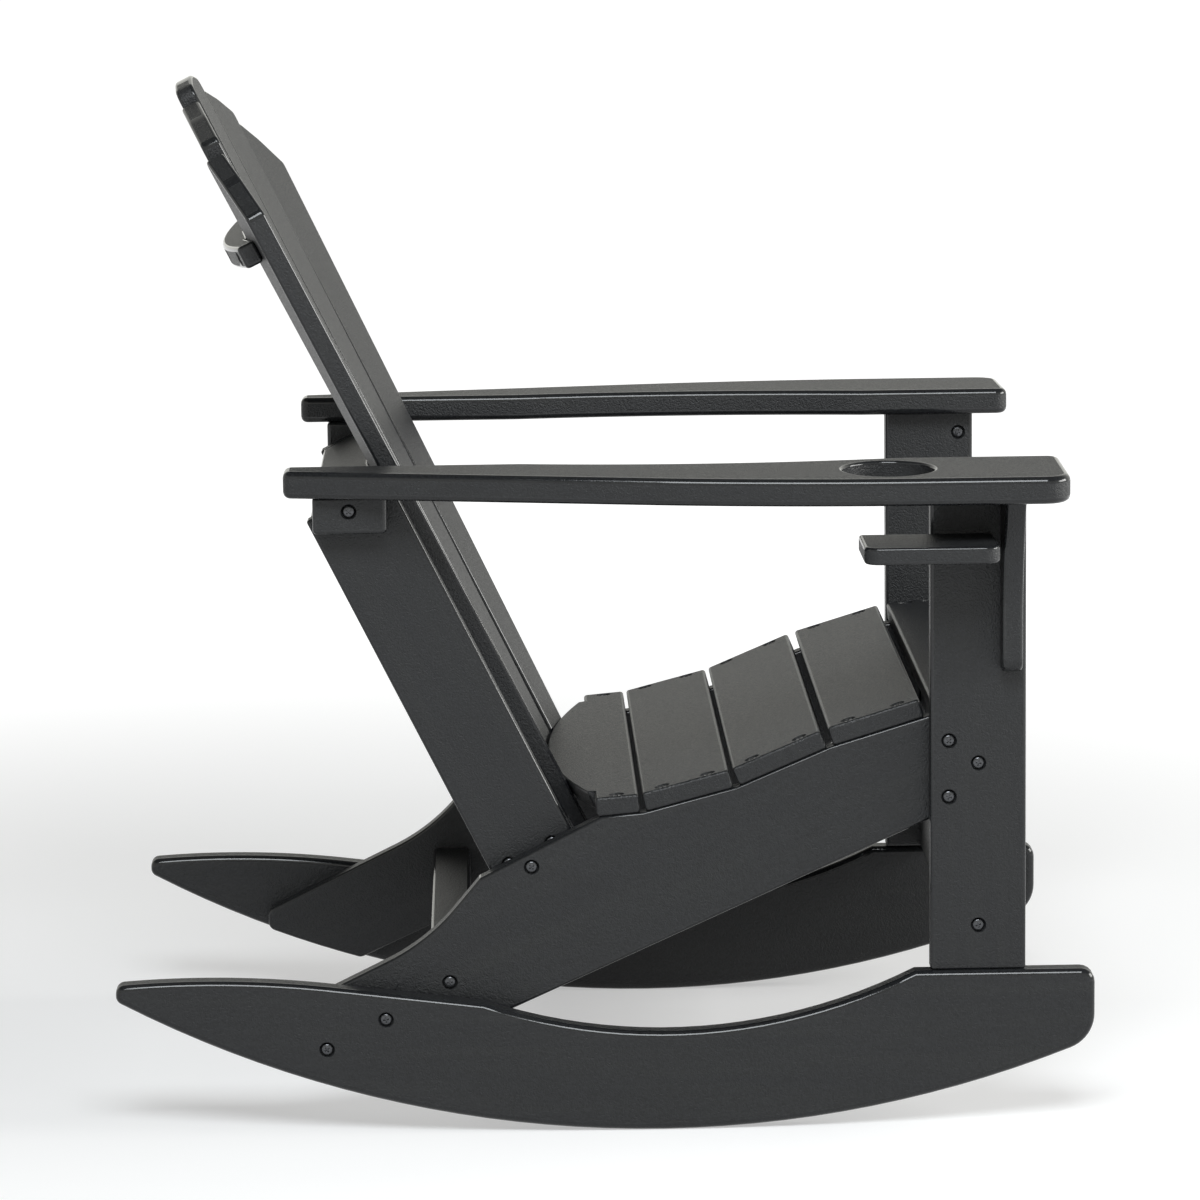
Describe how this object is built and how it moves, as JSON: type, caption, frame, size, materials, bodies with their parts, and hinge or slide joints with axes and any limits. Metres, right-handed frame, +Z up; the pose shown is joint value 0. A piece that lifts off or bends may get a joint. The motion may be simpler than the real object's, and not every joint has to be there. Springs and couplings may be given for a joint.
{
  "type": "rocking adirondack chair",
  "caption": "Black board-built rocking adirondack chair with curved runners, a fanned slat back, a scooped seat, wide arms and a cup holder in the right arm",
  "frame": {"origin": "On the floor, under the middle of the chair's box: the middle of its width and of the length of its runners", "axes": "+Z up, -Y the way a sitter faces, +X to the sitter's left"},
  "size_m": [0.727, 0.914, 0.9718],
  "materials": {
    "board": "moulded lumber with a fine pebbled satin skin",
    "screw": "black coated steel"
  },
  "bodies": {
    "root": {"rocker_right": "board", "rocker_left": "board", "side_rail_right": "board", "side_rail_left": "board", "front_leg_right": "board", "front_leg_left": "board", "back_post_right": "board", "back_post_left": "board", "arm_right": "board", "arm_left": "board", "arm_block_right": "board", "arm_block_left": "board", "arm_bracket_right": "board", "arm_bracket_left": "board", "cup_shelf": "board", "front_apron": "board", "front_stretcher": "board", "rear_stretcher": "board", "rear_seat_slat": "board", "low_seat_slat": "board", "middle_seat_slat": "board", "high_seat_slat": "board", "front_seat_slat": "board", "centre_back_slat": "board", "inner_back_slat_right": "board", "inner_back_slat_left": "board", "outer_back_slat_right": "board", "outer_back_slat_left": "board", "upper_back_rail": "board", "middle_back_rail": "board", "lower_back_rail": "board", "rocker_screws": "screw", "leg_screws": "screw", "rail_screws": "screw", "arm_screws": "screw", "shelf_screws": "screw", "seat_screws": "screw", "back_screws": "screw"}
  },
  "joints": []
}
